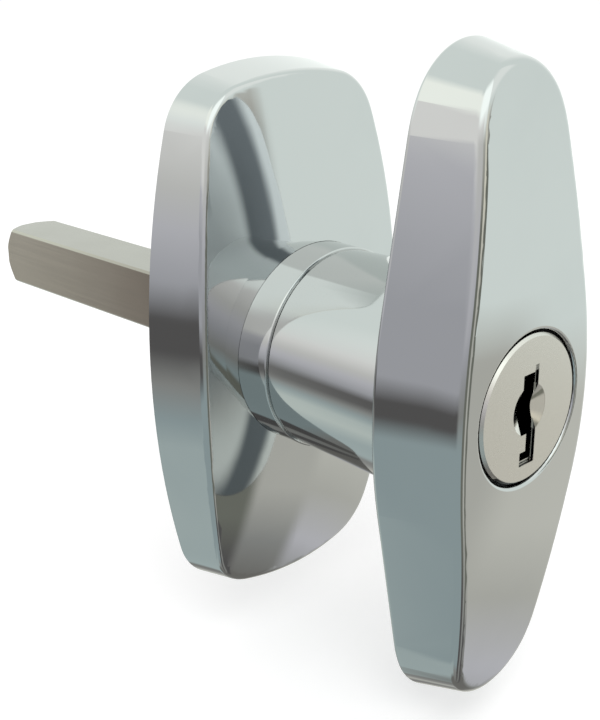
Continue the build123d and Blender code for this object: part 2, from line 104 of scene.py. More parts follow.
# Curved skins: metres, degrees, and how far a normal turns to the front or the rear
CREASE_ANGLE = 28
MERGE_DISTANCE = 0.000002
SHEET_REACH = 0.0006
SHEET_LIMIT = 0.0014
SHEET_POINTS = 12
SHEET_STEPS = 3
SHEET_FOCUS = 2.5
EDGE_SLANT = (0.15, 0.98)
GRIP_FRONT_Y = -0.035
LOCK_SURROUND = 0.0104


def linear(red, green, blue):
    """A linear colour from the screen colour that it shows as."""
    values = [v / 255 for v in (red, green, blue)]
    return (*[v / 12.92 if v <= 0.04045 else ((v + 0.055) / 1.055) ** 2.4 for v in values], 1.0)


def grey(level):
    return (level, level, level, 1.0)


# Tones of the studio walls, as a chromed surface shows them
SKY = linear(200, 208, 205)
GLOW = linear(232, 236, 229)
BRIGHT = linear(243, 244, 241)
WINDOW = linear(246, 253, 250)
MIST = linear(216, 221, 218)
PALE_WALL = linear(206, 206, 204)
ASH = linear(180, 180, 178)
LAVENDER = linear(171, 171, 176)
DEEP_LAVENDER = linear(150, 151, 156)
TEAL = linear(132, 145, 147)
SOFT_TEAL = linear(149, 161, 161)
PALE_TEAL = linear(173, 182, 178)
SHADE = linear(78, 77, 77)
SLATE = linear(126, 127, 125)
STONE = linear(163, 163, 157)
BEIGE = linear(178, 178, 171)
OLIVE = linear(100, 102, 95)
CREAM = linear(198, 196, 183)
DUSK = linear(101, 100, 97)


def new_material(name):
    material = bpy.data.materials.new(name)
    material.use_nodes = True
    nodes = material.node_tree.nodes
    nodes.clear()
    output = nodes.new("ShaderNodeOutputMaterial")
    return material, nodes, material.node_tree.links, output


def fill_ramp(node, stops):
    """Sets a colour ramp from (place, colour) stops, which are in order."""
    elements = node.color_ramp.elements
    while len(elements) < len(stops):
        elements.new(0.5)
    for element, (place, colour) in zip(elements, stops):
        element.position = place
        element.color = colour
    return node


def maths(nodes, links, operation, first, second=None):
    """One operation on a value; each value may be a socket or a number."""
    node = nodes.new("ShaderNodeMath")
    node.operation = operation
    for socket, value in zip(node.inputs, (first, second)):
        if isinstance(value, (int, float)):
            socket.default_value = value
        elif value is not None:
            links.new(value, socket)
    return node.outputs[0]


def between(nodes, links, value, low, high, to_low=0.0, to_high=1.0, smooth=True):
    """Maps one stretch of a value to another, and holds it at the ends."""
    node = nodes.new("ShaderNodeMapRange")
    node.interpolation_type = "SMOOTHSTEP" if smooth else "LINEAR"
    links.new(value, node.inputs["Value"])
    node.inputs["From Min"].default_value = low
    node.inputs["From Max"].default_value = high
    node.inputs["To Min"].default_value = to_low
    node.inputs["To Max"].default_value = to_high
    return node.outputs["Result"]


def blend(nodes, links, factor, first, second):
    """Mixes two colours, each a socket or a plain colour."""
    node = nodes.new("ShaderNodeMix")
    node.data_type = "RGBA"
    links.new(factor, node.inputs["Factor"])
    for name, value in (("A", first), ("B", second)):
        socket = [s for s in node.inputs if s.name == name and s.type == "RGBA"][0]
        if isinstance(value, tuple):
            socket.default_value = value
        else:
            links.new(value, socket)
    return [s for s in node.outputs if s.type == "RGBA"][0]


# The studio

def studio_world():
    """White where it is seen, also in metal and glass, and a plain soft level on the rest."""
    world = bpy.data.worlds.new("studio_light")
    world.use_nodes = True
    bpy.context.scene.world = world
    nodes, links = world.node_tree.nodes, world.node_tree.links
    nodes.clear()
    path = nodes.new("ShaderNodeLightPath")
    seen = maths(nodes, links, "ADD", path.outputs["Is Camera Ray"], path.outputs["Is Glossy Ray"])
    seen = maths(nodes, links, "ADD", seen, path.outputs["Is Transmission Ray"])
    level = between(nodes, links, seen, 0.0, 1.0, WORLD_LEVEL, 1.0, smooth=False)
    background = nodes.new("ShaderNodeBackground")
    background.inputs["Color"].default_value = grey(1.0)
    links.new(level, background.inputs["Strength"])
    output = nodes.new("ShaderNodeOutputWorld")
    links.new(background.outputs["Background"], output.inputs["Surface"])


def floor():
    """A pale floor that takes the object's shadow and doesn't show in its metal."""
    bpy.ops.mesh.primitive_plane_add(size=FLOOR_SIZE, location=(0, 0, FLOOR_HEIGHT))
    plane = bpy.context.object
    plane.name = "studio_floor"
    plane.visible_glossy = False
    material, nodes, links, output = new_material("pale_floor")
    shader = nodes.new("ShaderNodeBsdfPrincipled")
    shader.inputs["Base Color"].default_value = grey(FLOOR_TONE)
    shader.inputs["Roughness"].default_value = 1.0
    shader.inputs["Specular IOR Level"].default_value = 0.0
    shader.inputs["Emission Color"].default_value = grey(1.0)
    shader.inputs["Emission Strength"].default_value = FLOOR_GLOW
    links.new(shader.outputs["BSDF"], output.inputs["Surface"])
    plane.data.materials.append(material)


def wall(nodes, links, elevation, stops):
    """One side of the room: its tones by elevation, in degrees."""
    places = [((degrees + 90) / 180, tone) for degrees, tone in stops]
    node = fill_ramp(nodes.new("ShaderNodeValToRGB"), places)
    links.new(elevation, node.inputs["Fac"])
    return node.outputs["Color"]


def room():
    """Grey studio walls round the object, seen only in its polished metal."""
    bpy.ops.mesh.primitive_uv_sphere_add(segments=64, ring_count=32, radius=ROOM_RADIUS, location=(0, 0, 0))
    sphere = bpy.context.object
    sphere.name = "studio_room"
    sphere.visible_camera = False
    sphere.visible_diffuse = False
    sphere.visible_transmission = False
    sphere.visible_volume_scatter = False
    sphere.visible_shadow = False
    material, nodes, links, output = new_material("studio_walls")
    material.cycles.emission_sampling = "NONE"
    place = nodes.new("ShaderNodeTexCoord")
    unit = nodes.new("ShaderNodeVectorMath")
    unit.operation = "NORMALIZE"
    links.new(place.outputs["Object"], unit.inputs[0])
    parts = nodes.new("ShaderNodeSeparateXYZ")
    links.new(unit.outputs["Vector"], parts.inputs["Vector"])
    rise = maths(nodes, links, "ARCSINE", parts.outputs["Z"])
    elevation = between(nodes, links, rise, -math.pi / 2, math.pi / 2, smooth=False)
    front = maths(nodes, links, "MULTIPLY", parts.outputs["Y"], -1.0)
    turn = maths(nodes, links, "ARCTAN2", parts.outputs["X"], front)
    azimuth = maths(nodes, links, "DEGREES", turn)
    back_wall = wall(nodes, links, elevation, [
        (-90, DUSK), (-77, DUSK), (-71, SOFT_TEAL), (-48, SOFT_TEAL), (-40, PALE_TEAL), (-33, PALE_TEAL),
        (-27, SOFT_TEAL), (-21, SLATE), (-8, SLATE), (-3, LAVENDER), (3, ASH), (12, PALE_WALL), (18, SKY),
        (90, SKY),
    ])
    left_wall = wall(nodes, links, elevation, [
        (-90, DUSK), (-77, DUSK), (-71, SOFT_TEAL), (-60, SOFT_TEAL), (-56, TEAL), (-26.5, TEAL),
        (-21.5, SHADE), (-17.5, SHADE), (-12, DEEP_LAVENDER), (2, DEEP_LAVENDER), (9, LAVENDER),
        (14, PALE_WALL), (32, PALE_WALL), (40, GLOW), (57, GLOW), (65, SKY), (90, SKY),
    ])
    corner_wall = wall(nodes, links, elevation, [
        (-90, DUSK), (-77, DUSK), (-71, SOFT_TEAL), (-33, SOFT_TEAL), (-29, TEAL), (-23.5, SLATE),
        (-18.5, SHADE), (-13.5, SHADE), (-8, DEEP_LAVENDER), (0, LAVENDER), (6, ASH), (16, PALE_WALL),
        (30, MIST), (48, GLOW), (57, GLOW), (65, SKY), (90, SKY),
    ])
    front_wall = wall(nodes, links, elevation, [
        (-90, DUSK), (-68, SLATE), (-60, TEAL), (-26, TEAL), (-18, SLATE), (-6, DEEP_LAVENDER), (4, LAVENDER),
        (13, ASH), (24, PALE_WALL), (33, WINDOW), (62, WINDOW), (76, SKY), (90, SKY),
    ])
    left_post = wall(nodes, links, elevation, [
        (-90, DUSK), (-62, SHADE), (-48, SHADE), (-42, OLIVE), (4, OLIVE), (12, STONE), (20, MIST),
        (34, WINDOW), (60, WINDOW), (76, SKY), (90, SKY),
    ])
    right_post = wall(nodes, links, elevation, [
        (-90, DUSK), (-62, SHADE), (-48, SHADE), (-42, OLIVE), (4, OLIVE), (12, STONE), (20, SKY), (34, MIST),
        (60, MIST), (76, SKY), (90, SKY),
    ])
    pale_post = wall(nodes, links, elevation, [
        (-90, DUSK), (-50, SLATE), (-36, STONE), (-8, STONE), (4, CREAM), (16, CREAM), (26, SKY), (34, MIST),
        (60, MIST), (76, SKY), (90, SKY),
    ])
    near_wall = wall(nodes, links, elevation, [
        (-90, DUSK), (-51, DUSK), (-45, SLATE), (-38, STONE), (-17, STONE), (-12, SKY), (22, SKY), (34, MIST),
        (60, MIST), (76, SKY), (90, SKY),
    ])
    right_wall = wall(nodes, links, elevation, [
        (-90, DUSK), (-57, DUSK), (-50, SLATE), (-44, LAVENDER), (-38, STONE), (-32, BEIGE), (-22, BEIGE),
        (-15, SKY), (90, SKY),
    ])
    window_wall = wall(nodes, links, elevation, [
        (-90, DUSK), (-66, DUSK), (-57, STONE), (-50, BEIGE), (-42, STONE), (-33, STONE), (-26, ASH),
        (-20, PALE_WALL), (-14, BRIGHT), (-4, MIST), (40, MIST), (62, SKY), (90, SKY),
    ])
    far_wall = wall(nodes, links, elevation, [
        (-90, DUSK), (-76, DUSK), (-69, SLATE), (-65, STONE), (-61, SLATE), (-56, DUSK), (-50, SLATE),
        (-43, STONE), (-30, PALE_TEAL), (-8, MIST), (38, MIST), (60, SKY), (90, SKY),
    ])
    sides = [
        (-150, -128, corner_wall), (-113, -103, left_wall), (-75, -45, front_wall), (-17, -12, left_post),
        (3, 8, pale_post), (18, 23, right_post), (31, 36, near_wall), (50, 57, right_wall),
        (72, 105, window_wall), (122, 136, far_wall), (165, 180, back_wall),
    ]
    colour = back_wall
    for start, end, tones in sides:
        colour = blend(nodes, links, between(nodes, links, azimuth, start, end), colour, tones)
    light = nodes.new("ShaderNodeEmission")
    light.inputs["Strength"].default_value = ROOM_LEVEL
    links.new(colour, light.inputs["Color"])
    links.new(light.outputs["Emission"], output.inputs["Surface"])
    sphere.data.materials.append(material)


def key_lamp():
    """A soft lamp from the upper left of the camera; the metal shows the room instead of it."""
    data = bpy.data.lights.new("key_lamp", "AREA")
    data.shape = "SQUARE"
    data.size = KEY_LAMP_SIZE
    data.energy = KEY_LAMP_WATTS
    lamp = bpy.data.objects.new("key_lamp", data)
    bpy.context.scene.collection.objects.link(lamp)
    lamp.location = KEY_LAMP_PLACE
    lamp.rotation_euler = (-Vector(lamp.location)).to_track_quat("-Z", "Y").to_euler()
    lamp.visible_glossy = False


def camera():
    """The photograph's own view."""
    azimuth, elevation, roll = (math.radians(v) for v in (CAMERA_AZIMUTH, CAMERA_ELEVATION, CAMERA_ROLL))
    right = Vector((math.cos(azimuth), math.sin(azimuth), 0))
    back = Vector((
        math.sin(azimuth) * math.cos(elevation),
        -math.cos(azimuth) * math.cos(elevation),
        math.sin(elevation),
    ))
    up = back.cross(right)
    turned_right = right * math.cos(roll) + up * math.sin(roll)
    turned_up = up * math.cos(roll) - right * math.sin(roll)
    turn = Matrix((turned_right, turned_up, back)).transposed()
    data = bpy.data.cameras.new("photo_camera")
    data.lens = CAMERA_LENS
    data.sensor_width = SENSOR_WIDTH
    data.clip_start = NEAREST_SEEN
    data.clip_end = FARTHEST_SEEN
    body = bpy.data.objects.new("photo_camera", data)
    bpy.context.scene.collection.objects.link(body)
    body.matrix_world = Matrix.Translation(-(turn @ Vector(CAMERA_OFFSET))) @ turn.to_4x4()
    bpy.context.scene.camera = body


# Finishes that more than one material uses

# How much a turned ring changes on its way round
RING_WANDER = 1.5


def new_group(name, inputs, outputs):
    """An empty node group with named inputs (name, kind, value) and outputs (name, kind)."""
    group = bpy.data.node_groups.new(name, "ShaderNodeTree")
    for label, kind, value in inputs:
        socket = group.interface.new_socket(label, in_out="INPUT", socket_type=kind)
        if value is not None:
            socket.default_value = value
    for label, kind in outputs:
        group.interface.new_socket(label, in_out="OUTPUT", socket_type=kind)
    start = group.nodes.new("NodeGroupInput")
    end = group.nodes.new("NodeGroupOutput")
    return group, group.nodes, group.links, start, end


def noise(nodes, links, vector, scale, detail=3.0, rough=0.5):
    """Plain noise; its scale may be a socket or a number."""
    node = nodes.new("ShaderNodeTexNoise")
    links.new(vector, node.inputs["Vector"])
    if isinstance(scale, (int, float)):
        node.inputs["Scale"].default_value = scale
    else:
        links.new(scale, node.inputs["Scale"])
    node.inputs["Detail"].default_value = detail
    node.inputs["Roughness"].default_value = rough
    return node.outputs["Fac"]


def polish_group():
    """Plated metal: a cloudy haze, fine specks, and the slow waves left by polishing."""
    group, nodes, links, start, end = new_group(
        "plated_polish",
        [("Place", "NodeSocketVector", None), ("Cloud Scale", "NodeSocketFloat", 60.0),
         ("Wave Scale", "NodeSocketFloat", 120.0)],
        [("Haze", "NodeSocketFloat"), ("Specks", "NodeSocketFloat"), ("Waves", "NodeSocketFloat")],
    )
    clouds = noise(nodes, links, start.outputs["Place"], start.outputs["Cloud Scale"], 4.0, 0.6)
    links.new(between(nodes, links, clouds, 0.42, 0.78), end.inputs["Haze"])
    dots = noise(nodes, links, start.outputs["Place"], 2600.0, 1.0)
    links.new(between(nodes, links, dots, 0.74, 0.8), end.inputs["Specks"])
    waves = noise(nodes, links, start.outputs["Place"], start.outputs["Wave Scale"], 1.0)
    links.new(waves, end.inputs["Waves"])
    return group


def grain_group():
    """Drawn or brushed metal: fine streaks along one axis."""
    group, nodes, links, start, end = new_group(
        "drawn_grain",
        [("Place", "NodeSocketVector", None), ("Stretch", "NodeSocketVector", (1.0, 1.0, 1.0))],
        [("Streaks", "NodeSocketFloat"), ("Patches", "NodeSocketFloat")],
    )
    stretch = nodes.new("ShaderNodeVectorMath")
    stretch.operation = "MULTIPLY"
    links.new(start.outputs["Place"], stretch.inputs[0])
    links.new(start.outputs["Stretch"], stretch.inputs[1])
    links.new(noise(nodes, links, stretch.outputs["Vector"], 1.0, 5.0, 0.65), end.inputs["Streaks"])
    links.new(noise(nodes, links, start.outputs["Place"], 140.0, 3.0), end.inputs["Patches"])
    return group


def turned_group():
    """Turned or ground metal: fine rings round the spindle's axis."""
    group, nodes, links, start, end = new_group(
        "turned_rings",
        [("Place", "NodeSocketVector", None), ("Ring Scale", "NodeSocketFloat", 9000.0)],
        [("Rings", "NodeSocketFloat"), ("Radius", "NodeSocketFloat")],
    )
    parts = nodes.new("ShaderNodeSeparateXYZ")
    links.new(start.outputs["Place"], parts.inputs["Vector"])
    square_x = maths(nodes, links, "POWER", parts.outputs["X"], 2.0)
    square_z = maths(nodes, links, "POWER", parts.outputs["Z"], 2.0)
    radius = maths(nodes, links, "SQRT", maths(nodes, links, "ADD", square_x, square_z))
    angle = maths(nodes, links, "ARCTAN2", parts.outputs["X"], parts.outputs["Z"])
    joined = nodes.new("ShaderNodeCombineXYZ")
    links.new(maths(nodes, links, "MULTIPLY", radius, start.outputs["Ring Scale"]), joined.inputs["X"])
    for socket, operation in (("Y", "SINE"), ("Z", "COSINE")):
        around = maths(nodes, links, "MULTIPLY", maths(nodes, links, operation, angle), RING_WANDER)
        links.new(around, joined.inputs[socket])
    links.new(noise(nodes, links, joined.outputs["Vector"], 1.0, 3.0, 0.6), end.inputs["Rings"])
    links.new(radius, end.inputs["Radius"])
    return group


POLISH = polish_group()
GRAIN = grain_group()
TURNED = turned_group()


def use(nodes, links, group, place, **values):
    """Places a shared finish in a material, with its own values."""
    node = nodes.new("ShaderNodeGroup")
    node.node_tree = group
    links.new(place, node.inputs["Place"])
    for name, value in values.items():
        node.inputs[name.replace("_", " ")].default_value = value
    return node.outputs


def metal(nodes, links, output, colour, roughness, height=None, strength=0.1, distance=0.0001):
    """A metal shader; colour and roughness may each be a socket or a plain value."""
    shader = nodes.new("ShaderNodeBsdfPrincipled")
    shader.inputs["Metallic"].default_value = 1.0
    for name, value in (("Base Color", colour), ("Roughness", roughness)):
        if isinstance(value, (tuple, float)):
            shader.inputs[name].default_value = value
        else:
            links.new(value, shader.inputs[name])
    if height is not None:
        bump = nodes.new("ShaderNodeBump")
        bump.inputs["Strength"].default_value = strength
        bump.inputs["Distance"].default_value = distance
        links.new(height, bump.inputs["Height"])
        links.new(bump.outputs["Normal"], shader.inputs["Normal"])
    links.new(shader.outputs["BSDF"], output.inputs["Surface"])
    return shader


# Materials

CHROME = (0.62, 0.628, 0.624, 1.0)
CHROME_CLOUDED = (0.595, 0.605, 0.602, 1.0)
SATIN_CHROME = (0.84, 0.88, 0.91, 1.0)
# Painted paler reflection on the lower part of the grip's satin rear face
SATIN_CHROME_PAINTED_PALE = (0.98, 1.0, 1.0, 1.0)
# Painted dark reflection in the oval ring on the grip's rear face
PAINTED_DARK_REFLECTION = (0.2, 0.222, 0.245, 1.0)
CAST_METAL = (0.33, 0.34, 0.345, 1.0)
NICKEL = (0.74, 0.715, 0.67, 1.0)
NICKEL_SHADE = (0.725, 0.70, 0.655, 1.0)
UNLIT = (0.006, 0.006, 0.007, 1.0)
STEEL = (0.36, 0.35, 0.312, 1.0)
# Painted reflection of the spindle's upright sides: warmer than the top, and paler towards the free end
STEEL_SIDE_PAINTED_REFLECTION = (0.43, 0.34, 0.285, 1.0)
STEEL_END_PAINTED_REFLECTION = (0.90, 0.83, 0.71, 1.0)
STEEL_SHADE = (0.40, 0.375, 0.335, 1.0)
ZINC = (0.53, 0.545, 0.56, 1.0)
ZINC_SHADE = (0.42, 0.44, 0.455, 1.0)
BLACKED_STEEL = (0.10, 0.10, 0.11, 1.0)
BLACKED_STEEL_WORN = (0.24, 0.24, 0.25, 1.0)
BRASS = (0.66, 0.49, 0.22, 1.0)
BRASS_SHADE = (0.51, 0.36, 0.15, 1.0)
RUBBER = (0.018, 0.018, 0.019, 1.0)
RUBBER_DUSTY = (0.05, 0.05, 0.052, 1.0)


def spread(nodes, links, place):
    """The distance from the spindle's axis, and the place's X, Y and Z."""
    parts = nodes.new("ShaderNodeSeparateXYZ")
    links.new(place, parts.inputs["Vector"])
    square_x = maths(nodes, links, "POWER", parts.outputs["X"], 2.0)
    square_z = maths(nodes, links, "POWER", parts.outputs["Z"], 2.0)
    return maths(nodes, links, "SQRT", maths(nodes, links, "ADD", square_x, square_z)), parts


def both(nodes, links, first, second):
    return maths(nodes, links, "MULTIPLY", first, second)


def within(nodes, links, value, low, high):
    """One inside a stretch, and zero outside it."""
    above = maths(nodes, links, "GREATER_THAN", value, low)
    return both(nodes, links, above, maths(nodes, links, "LESS_THAN", value, high))


def painted_dark_reflection_ring(nodes, links, place):
    """A soft oval ring of painted dark reflection on the grip's rear face."""
    parts = nodes.new("ShaderNodeSeparateXYZ")
    links.new(place.outputs["Object"], parts.inputs["Vector"])
    moved = maths(nodes, links, "ADD", parts.outputs["X"], PAINTED_RING_SHIFT)
    ovals = []
    for width, height in (PAINTED_RING_OUTER, PAINTED_RING_INNER):
        across = maths(nodes, links, "POWER", maths(nodes, links, "DIVIDE", moved, width), 2.0)
        along = maths(nodes, links, "POWER", maths(nodes, links, "DIVIDE", parts.outputs["Z"], height), 2.0)
        ovals.append(maths(nodes, links, "ADD", across, along))
    outer, inner = ovals
    past_inner = between(nodes, links, inner, *RING_INNER_FADE)
    return both(nodes, links, past_inner, between(nodes, links, outer, *RING_OUTER_FADE))


def chrome(name, cast_back=False, grip=False):
    """Bright chrome; cast_back leaves the rear bare, and grip adds its satin rear, with a painted dark
    reflection ring and a painted paler reflection low down, and its unlit bore.
    """
    material, nodes, links, output = new_material(name)
    place = nodes.new("ShaderNodeTexCoord")
    polish = use(nodes, links, POLISH, place.outputs["Object"], Cloud_Scale=45.0, Wave_Scale=70.0)
    colour = blend(nodes, links, polish["Haze"], CHROME, CHROME_CLOUDED)
    roughness = between(nodes, links, polish["Haze"], 0.0, 1.0, 0.045, 0.07, smooth=False)
    if cast_back:
        parts = nodes.new("ShaderNodeSeparateXYZ")
        links.new(place.outputs["Normal"], parts.inputs["Vector"])
        behind = between(nodes, links, parts.outputs["Y"], *PLATE_REAR_FACING)
        colour = blend(nodes, links, behind, colour, CAST_METAL)
        rough_cast = noise(nodes, links, place.outputs["Object"], 900.0, 4.0)
        cast_roughness = between(nodes, links, rough_cast, 0.3, 0.7, 0.35, 0.55)
        mix = nodes.new("ShaderNodeMix")
        links.new(behind, mix.inputs["Factor"])
        links.new(roughness, mix.inputs["A"])
        links.new(cast_roughness, mix.inputs["B"])
        roughness = mix.outputs["Result"]
    if grip:
        facing = nodes.new("ShaderNodeSeparateXYZ")
        links.new(place.outputs["Normal"], facing.inputs["Vector"])
        rear = between(nodes, links, facing.outputs["Y"], *GRIP_REAR_FACING)
        # painted dark reflection: a soft oval ring on the rear face
        ring = both(nodes, links, painted_dark_reflection_ring(nodes, links, place), rear)
        radius, parts = spread(nodes, links, place.outputs["Object"])
        # painted reflection: the rear face paler towards the bottom
        low = between(nodes, links, parts.outputs["Z"], *REAR_PAINTED_PALE_HEIGHTS)
        satin = blend(nodes, links, low, SATIN_CHROME, SATIN_CHROME_PAINTED_PALE)
        colour = blend(nodes, links, rear, colour, satin)
        colour = blend(nodes, links, ring, colour, PAINTED_DARK_REFLECTION)
        duller = maths(nodes, links, "MULTIPLY", rear, REAR_ROUGHNESS)
        roughness = maths(nodes, links, "ADD", roughness, duller)
        inside = maths(nodes, links, "LESS_THAN", radius, LOCK_BORE_RADIUS + HAIR)
        deep = between(nodes, links, parts.outputs["Y"], *[LOCK_FACE_Y + depth for depth in GAP_LIT_DEPTH])
        colour = blend(nodes, links, both(nodes, links, inside, deep), colour, UNLIT)
    metal(nodes, links, output, colour, roughness, polish["Waves"], 0.02, 0.0002)
    return material


def satin_nickel():
    """The lock's face: flat satin plate with faint turned rings, unlit in the keyway's depth."""
    material, nodes, links, output = new_material("satin_nickel")
    place = nodes.new("ShaderNodeTexCoord")
    turned = use(nodes, links, TURNED, place.outputs["Object"], Ring_Scale=7000.0)
    polish = use(nodes, links, POLISH, place.outputs["Object"], Cloud_Scale=160.0, Wave_Scale=300.0)
    colour = blend(nodes, links, between(nodes, links, turned["Rings"], 0.3, 0.75), NICKEL, NICKEL_SHADE)
    radius, parts = spread(nodes, links, place.outputs["Object"])
    across, up = parts.outputs["X"], parts.outputs["Z"]
    depth = maths(nodes, links, "SUBTRACT", parts.outputs["Y"], LOCK_FACE_Y)
    rim_side = KEYWAY_HALF_WIDTH - KEYWAY_SIDE_STEP
    slot = within(nodes, links, across, -KEYWAY_HALF_WIDTH - HAIR, rim_side + HAIR)
    slot_depth = maths(nodes, links, "GREATER_THAN", depth, KEYWAY_RIM_DEPTH + HAIR)
    rim_wall = both(nodes, links, maths(nodes, links, "GREATER_THAN", across, KEYWAY_HALF_WIDTH - HAIR),
                    maths(nodes, links, "LESS_THAN", up, KEYWAY_TOP))
    foot_wall = maths(nodes, links, "LESS_THAN", up, HAIR - KEYWAY_BOTTOM)
    outside_entry = maths(nodes, links, "GREATER_THAN", radius, KEY_ENTRY_RADIUS + HAIR)
    rim_depth = within(nodes, links, depth, 2 * HAIR, KEYWAY_RIM_DEPTH - HAIR)
    walls = both(nodes, links, maths(nodes, links, "MAXIMUM", rim_wall, foot_wall), rim_depth)
    past_face = maths(nodes, links, "GREATER_THAN", radius, LOCK_FACE_RADIUS - HAIR)
    gap = both(nodes, links, past_face, between(nodes, links, depth, *GAP_LIT_DEPTH))
    deep = both(nodes, links, maths(nodes, links, "GREATER_THAN", depth, PLUG_LIT_DEPTH),
                maths(nodes, links, "LESS_THAN", radius, LOCK_FACE_RADIUS - HAIR))
    unlit = both(nodes, links, walls, outside_entry)
    for mask in (both(nodes, links, slot, slot_depth), gap, deep):
        unlit = maths(nodes, links, "MAXIMUM", unlit, mask)
    colour = blend(nodes, links, unlit, colour, UNLIT)
    entry = both(nodes, links, maths(nodes, links, "LESS_THAN", radius, KEY_ENTRY_RADIUS - HAIR),
                 maths(nodes, links, "GREATER_THAN", depth, HAIR))
    satin = between(nodes, links, polish["Haze"], 0.0, 1.0, 0.26, 0.30, smooth=False)
    brighter = maths(nodes, links, "MULTIPLY", entry, KEY_ENTRY_POLISH)
    roughness = maths(nodes, links, "SUBTRACT", satin, brighter)
    metal(nodes, links, output, colour, roughness, turned["Rings"], 0.015, 0.00002)
    return material


def drawn_steel(name, stretch):
    """Satin plated steel with a painted reflection, warmer on its upright sides than on top and paler towards
    the free end, and faint streaks along one axis.
    """
    material, nodes, links, output = new_material(name)
    place = nodes.new("ShaderNodeTexCoord")
    grain = use(nodes, links, GRAIN, place.outputs["Object"], Stretch=stretch)
    facing = nodes.new("ShaderNodeSeparateXYZ")
    links.new(place.outputs["Normal"], facing.inputs["Vector"])
    level = maths(nodes, links, "ABSOLUTE", facing.outputs["Z"])
    upright = between(nodes, links, level, *UPRIGHT_FACING)
    parts = nodes.new("ShaderNodeSeparateXYZ")
    links.new(place.outputs["Object"], parts.inputs["Vector"])
    # painted reflection: upright sides warmer than the top, and paler towards the free end
    outward = between(nodes, links, parts.outputs["Y"], *BAR_PAINTED_PALE_REACH)
    side = blend(nodes, links, outward, STEEL_SIDE_PAINTED_REFLECTION, STEEL_END_PAINTED_REFLECTION)
    plain = blend(nodes, links, upright, STEEL, side)
    shade = between(nodes, links, grain["Streaks"], 0.3, 0.72, 0.0, 0.15)
    colour = blend(nodes, links, shade, plain, STEEL_SHADE)
    roughness = between(nodes, links, grain["Patches"], 0.3, 0.7, 0.22, 0.27, smooth=False)
    metal(nodes, links, output, colour, roughness, grain["Streaks"], 0.02, 0.00003)
    return material


def zinc_plate():
    """Dull zinc plate on the stop washer."""
    material, nodes, links, output = new_material("zinc_plate")
    place = nodes.new("ShaderNodeTexCoord")
    polish = use(nodes, links, POLISH, place.outputs["Object"], Cloud_Scale=260.0, Wave_Scale=500.0)
    colour = blend(nodes, links, polish["Haze"], ZINC, ZINC_SHADE)
    roughness = between(nodes, links, polish["Haze"], 0.0, 1.0, 0.34, 0.5, smooth=False)
    metal(nodes, links, output, colour, roughness, polish["Waves"], 0.1, 0.00005)
    return material


def spring_steel():
    """Blacked spring steel, worn grey in places."""
    material, nodes, links, output = new_material("spring_steel")
    place = nodes.new("ShaderNodeTexCoord")
    turned = use(nodes, links, TURNED, place.outputs["Object"], Ring_Scale=5000.0)
    polish = use(nodes, links, POLISH, place.outputs["Object"], Cloud_Scale=300.0, Wave_Scale=600.0)
    colour = blend(nodes, links, polish["Haze"], BLACKED_STEEL, BLACKED_STEEL_WORN)
    roughness = between(nodes, links, turned["Rings"], 0.3, 0.7, 0.3, 0.42, smooth=False)
    metal(nodes, links, output, colour, roughness, turned["Rings"], 0.1, 0.00003)
    return material


def lock_brass():
    """Turned brass, unlit at the bottom of the gap round the lock's face."""
    material, nodes, links, output = new_material("lock_brass")
    place = nodes.new("ShaderNodeTexCoord")
    turned = use(nodes, links, TURNED, place.outputs["Object"], Ring_Scale=6000.0)
    colour = blend(nodes, links, between(nodes, links, turned["Rings"], 0.3, 0.75), BRASS, BRASS_SHADE)
    parts = nodes.new("ShaderNodeSeparateXYZ")
    links.new(place.outputs["Object"], parts.inputs["Vector"])
    gap_floor = maths(nodes, links, "LESS_THAN", parts.outputs["Y"], GAP_FLOOR_Y)
    colour = blend(nodes, links, gap_floor, colour, UNLIT)
    polish = use(nodes, links, POLISH, place.outputs["Object"], Cloud_Scale=280.0, Wave_Scale=500.0)
    roughness = between(nodes, links, polish["Haze"], 0.0, 1.0, 0.26, 0.36, smooth=False)
    metal(nodes, links, output, colour, roughness, turned["Rings"], 0.12, 0.00003)
    return material


def seal_rubber():
    """Black rubber with a dusty bloom."""
    material, nodes, links, output = new_material("seal_rubber")
    place = nodes.new("ShaderNodeTexCoord")
    polish = use(nodes, links, POLISH, place.outputs["Object"], Cloud_Scale=400.0, Wave_Scale=1500.0)
    shader = nodes.new("ShaderNodeBsdfPrincipled")
    links.new(blend(nodes, links, polish["Haze"], RUBBER, RUBBER_DUSTY), shader.inputs["Base Color"])
    links.new(between(nodes, links, polish["Haze"], 0.0, 1.0, 0.5, 0.7), shader.inputs["Roughness"])
    bump = nodes.new("ShaderNodeBump")
    bump.inputs["Strength"].default_value = 0.2
    bump.inputs["Distance"].default_value = 0.00005
    links.new(polish["Waves"], bump.inputs["Height"])
    links.new(bump.outputs["Normal"], shader.inputs["Normal"])
    links.new(shader.outputs["BSDF"], output.inputs["Surface"])
    return material


def sheet_normal(points, start):
    """The normal, at the first of some points, of the curved sheet that fits them best."""
    away = points - points[0]
    across = np.cross(start, (0.0, 0.0, 1.0) if abs(start[2]) < 0.8 else (1.0, 0.0, 0.0))
    across /= np.linalg.norm(across)
    along = np.cross(start, across)
    u, v, height = away @ across, away @ along, away @ start
    span = max(np.abs(u).max(), np.abs(v).max())
    u, v, height = u / span, v / span, height / span
    weight = np.exp(-SHEET_FOCUS * (u * u + v * v))
    terms = np.stack([np.ones_like(u), u, v, u * u, u * v, v * v], axis=1)
    slopes = np.linalg.lstsq(terms * weight[:, None], height * weight, rcond=None)[0]
    normal = start - slopes[1] * across - slopes[2] * along
    return normal / np.linalg.norm(normal)


def smooth_neighbours(mesh):
    """The points that each point reaches over uncreased edges, and the points on a crease."""
    limit = math.cos(math.radians(CREASE_ANGLE))
    sides = {}
    for face in mesh.polygons:
        for edge in face.edge_keys:
            sides.setdefault(edge, []).append(face.normal)
    joined = [set() for _ in mesh.vertices]
    creased = set()
    for (one, other), normals in sides.items():
        if len(normals) == 2 and normals[0].dot(normals[1]) > limit:
            joined[one].add(other)
            joined[other].add(one)
        else:
            creased.update((one, other))
    return joined, creased


